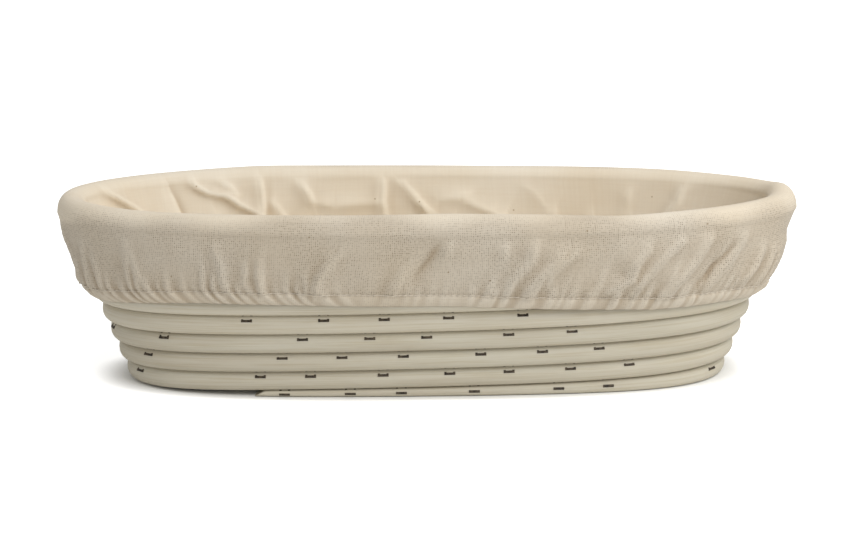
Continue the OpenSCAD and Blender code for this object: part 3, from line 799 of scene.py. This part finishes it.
# Thick and thin threads both ways, slow changes from handling and flour, and painted shade in the hollows of
# the folds
for stretch in ((1, 0.03, 1), (0.03, 1, 1)):
    stretched = add_node(cotton, "ShaderNodeMapping", {}, {"Vector": bent, "Scale": stretch})
    slub = add_node(cotton, "ShaderNodeTexNoise", {"noise_dimensions": "2D"}, {
        "Vector": stretched, "Scale": 0.8})
    tints.append((slub, [(0.3, "#FDFCFB"), (0.7, "#FFFFFF")]))
cotton_at = add_node(cotton, "ShaderNodeTexCoord")
cloud = add_node(cotton, "ShaderNodeTexNoise", {}, {
    "Vector": cotton_at.outputs["Object"], "Scale": 1 / (CLOUD * MM), "Detail": 3.0})
tints.append((cloud, [(0.3, "#F5F0E8"), (0.7, "#FFFFFF")]))
# Painted shade: the hollows of folds and gathers are painted darker and their ridges stay full, as light
# would fall on them
fold_shade = add_node(cotton, "ShaderNodeAttribute", {"attribute_name": "proud"})
hollow_shade = add_node(cotton, "ShaderNodeMath", {"operation": "MULTIPLY_ADD"}, {
    0: fold_shade.outputs["Fac"], 1: 0.6, 2: 0.5})
tints.append((hollow_shade, [(0.05, "#D8CFC4"), (0.55, "#FFFFFF")]))
# A few brown flecks of seed husk, half a millimetre across and some five centimetres apart
husk = add_node(cotton, "ShaderNodeTexVoronoi", {"voronoi_dimensions": "2D"}, {
    "Vector": cotton_uv, "Scale": 1 / (HUSK_APART * MM)})
tints.append((husk, [(0.003, "#C2B6A4"), (0.011, "#FFFFFF")]))
for strength, ends in tints:
    tint = add_node(cotton, "ShaderNodeValToRGB", {"color_ramp": ends}, {"Fac": strength})
    tinted = add_node(cotton, "ShaderNodeMix", {"data_type": "RGBA", "blend_type": "MULTIPLY"}, {
        "Factor": 1.0, "A": cotton_tone, "B": tint})
    cotton_tone = tinted.outputs["Result"]
cotton_bump = add_node(cotton, "ShaderNodeBump", {"invert": True}, {
    "Height": seen_holes, "Strength": 0.3, "Distance": 0.2 * MM})
set_inputs(cotton, cotton_shader, {
    "Base Color": cotton_tone, "Normal": cotton_bump, "Roughness": 0.92, "Specular IOR Level": 0.15,
    "Sheen Weight": 0.1})
dress(liner, cotton)
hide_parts("liner_bag", "liner_skirt")
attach(liner, "liner")


# The sewing thread: a row of lockstitch in cotton thread that holds the hem's turned-up
# edge. It lies on the cloth for each stitch and dips into it between two of them.
STITCH, STATIONS_A_STITCH = 2.7, 6
STITCH_R, STITCH_SIDES = 0.24, 6
# The thread's mean height over the cloth's middle, and how far it goes up and down from that
STITCH_LIE, STITCH_DIP = 0.2, 0.3
stitch_row = cloth[-1 - UNDER_ROWS - HEM_ROWS]
stitch_run = run_along(stitch_row)
stations = np.linspace(0, stitch_run[-1], int(stitch_run[-1] / STITCH) * STATIONS_A_STITCH + 1)
seam = np.stack([np.interp(stations, stitch_run, stitch_row[:, i]) for i in range(3)], 1)
seam[-1] = seam[0]
ahead = np.roll(seam[:-1], -1, axis=0) - np.roll(seam[:-1], 1, axis=0)
ahead = np.concatenate([ahead, ahead[:1]])
ahead /= np.linalg.norm(ahead, axis=1)[:, None]
side = np.cross(ahead, [0, 0, 1])
side /= np.linalg.norm(side, axis=1)[:, None]
upward = np.cross(side, ahead)
lie = STITCH_LIE + STITCH_DIP * np.cos(np.arange(len(stations)) * FULL_TURN / STATIONS_A_STITCH)
sewing, column, row = grid_piece("sewing_thread", len(stations) - 1, STITCH_SIDES)
around = row / STITCH_SIDES * FULL_TURN
to_side = side[column] * (lie[column] + STITCH_R * np.cos(around))[:, None]
to_top = upward[column] * (STITCH_R * np.sin(around))[:, None]
bend_grid(sewing, seam[column] + to_side + to_top)
bpy.ops.object.shade_smooth()
# Cotton thread: matt, with its plies about 0.8 mm long in two tones of cream
PLY = 0.8
yarn, yarn_shader = new_material("cream cotton sewing thread")
yarn_at = add_node(yarn, "ShaderNodeTexCoord")
ply = add_node(yarn, "ShaderNodeTexNoise", {}, {
    "Vector": yarn_at.outputs["Object"], "Scale": 1 / (PLY * MM)})
yarn_tone = add_node(yarn, "ShaderNodeValToRGB", {
    "color_ramp": [(0.3, "#C6BBAA"), (0.7, "#D8CEBE")]}, {"Fac": ply})
set_inputs(yarn, yarn_shader, {"Base Color": yarn_tone, "Roughness": 0.8})
dress(sewing, yarn)
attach(sewing, "liner")


# The elastic: a flat band of rubber cores braided over with white yarn, 3 mm wide. It
# lies in the hem all round, held by nothing else, and draws it in under the rim.
ELASTIC_W, ELASTIC_T, ELASTIC_OUT = 3.0, 0.6, 6.35
ELASTIC_COLUMNS, ELASTIC_SIDES, ELASTIC_ROUND = 360, 12, 0.4
band_mm = np.linspace(0, rim_length, ELASTIC_COLUMNS + 1)
band_angle = rim_angles(band_mm)
band_z = np.interp(band_mm, round_mm, hem_z) + HEM_BAND / 2
elastic, column, row = grid_piece("elastic_band", ELASTIC_COLUMNS, ELASTIC_SIDES)
lines = []
for around in np.arange(ELASTIC_SIDES + 1) / ELASTIC_SIDES * FULL_TURN:
    reach = ELASTIC_OUT + ELASTIC_T / 2 * pressed(math.cos(around), ELASTIC_ROUND)
    z = band_z + ELASTIC_W / 2 * pressed(math.sin(around), ELASTIC_ROUND)
    lines.append(cloth_row(band_angle, level_at(band_z), reach, z))
bend_grid(elastic, np.array(lines)[row, column])
bpy.ops.object.shade_smooth_by_angle(angle=SHARP_EDGE)
# Braided yarn: its strands cross the band aslant, one for each 0.7 mm. The wave turns by ten radians
# for each unit, so this scale makes one strand of one unit.
STRAND = 0.7
ONE_A_UNIT = FULL_TURN / 10
braid, braid_shader = new_material("white braided elastic")
braid_uv = add_node(braid, "ShaderNodeUVMap", {"uv_map": "UVMap"})
strand_at = add_node(braid, "ShaderNodeMapping", {}, {
    "Vector": braid_uv, "Scale": (rim_length / STRAND, 2 * (ELASTIC_W + ELASTIC_T) / STRAND, 1)})
strand = add_node(braid, "ShaderNodeTexWave", {"bands_direction": "DIAGONAL"}, {
    "Vector": strand_at, "Scale": ONE_A_UNIT, "Distortion": 0.5})
braid_tone = add_node(braid, "ShaderNodeValToRGB", {
    "color_ramp": [(0.2, "#CFCBC2"), (0.8, "#F1EFEA")]}, {"Fac": strand.outputs["Fac"]})
set_inputs(braid, braid_shader, {"Base Color": braid_tone, "Roughness": 0.7})
dress(elastic, braid)
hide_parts("hem_elastic")
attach(elastic, "liner")


# The studio: a plain white floor, a large soft lamp above the front right, and a
# camera a little above the rim, as the object was photographed. The camera sees the
# floor a little overexposed, but not where it lies under the basket.
deselect()
bpy.ops.mesh.primitive_plane_add(size=8)
floor = bpy.context.object
floor.name = "studio_floor"
# The place under the basket: its half length and half width in metres, how square its corners are, the
# shares of it between which its shade fades, and how much light the bare floor adds
SHADE_X, SHADE_Y, SHADE_SQUARE = 0.146, 0.049, 2.6
FADE_FROM, FADE_TO, GLOW = 0.9, 1.35, 0.65
white, white_shader = new_material("white studio floor")
white_at = add_node(white, "ShaderNodeTexCoord")
white_axes = add_node(white, "ShaderNodeSeparateXYZ", {}, {"Vector": white_at.outputs["Object"]})
far = []
for axis, size in (("X", SHADE_X), ("Y", SHADE_Y)):
    off_middle = add_node(white, "ShaderNodeMath", {"operation": "ABSOLUTE"}, {0: white_axes.outputs[axis]})
    share = add_node(white, "ShaderNodeMath", {"operation": "DIVIDE"}, {0: off_middle, 1: size})
    far.append(add_node(white, "ShaderNodeMath", {"operation": "POWER"}, {0: share, 1: SHADE_SQUARE}))
far_out = add_node(white, "ShaderNodeMath", {"operation": "ADD"}, {0: far[0], 1: far[1]})
clear = add_node(white, "ShaderNodeMapRange", {"interpolation_type": "SMOOTHSTEP"}, {
    "Value": far_out, "From Min": FADE_FROM, "From Max": FADE_TO, "To Max": GLOW})
ray = add_node(white, "ShaderNodeLightPath")
glow = add_node(white, "ShaderNodeMath", {"operation": "MULTIPLY"}, {
    0: ray.outputs["Is Camera Ray"], 1: clear})
set_inputs(white, white_shader, {
    "Base Color": colour("#F4F4F2"), "Roughness": 0.95, "Specular IOR Level": 0.0,
    "Emission Color": colour("#FFFFFF"), "Emission Strength": glow})
dress(floor, white)

# The camera's focal length in pixels of a picture of that width, and its tilt and turn in radians
IMAGE_W, FOCAL_PX = 855, 1935.4
CAMERA_AT, TILT, TURN = (-0.0314, -0.900, 0.2660), 0.235, 0.035
camera = bpy.data.objects.new("camera", bpy.data.cameras.new("camera"))
bpy.context.scene.collection.objects.link(camera)
camera.data.lens = FOCAL_PX / IMAGE_W * camera.data.sensor_width
camera.location = CAMERA_AT
camera.rotation_euler = (math.pi / 2 - TILT, 0, -TURN)
bpy.context.scene.camera = camera

LAMP_AT, LAMP_SIZE, LAMP_WATTS = (0.68, -0.70, 1.18), 1.2, 17
LAMP_TILT, LAMP_LEAN = math.radians(28), math.radians(31)
lamp = bpy.data.objects.new("soft_lamp", bpy.data.lights.new("soft_lamp", "AREA"))
bpy.context.scene.collection.objects.link(lamp)
lamp.data.size = LAMP_SIZE
lamp.data.energy = LAMP_WATTS
lamp.location = LAMP_AT
lamp.rotation_euler = (LAMP_TILT, LAMP_LEAN, 0)

ROOM_LIGHT = 0.5
world = bpy.data.worlds.new("studio")
bpy.context.scene.world = world
world.use_nodes = True
set_inputs(world, world.node_tree.nodes["Background"], {"Color": colour("#FFFFFF"), "Strength": ROOM_LIGHT})
bpy.context.scene.view_settings.view_transform = "Standard"
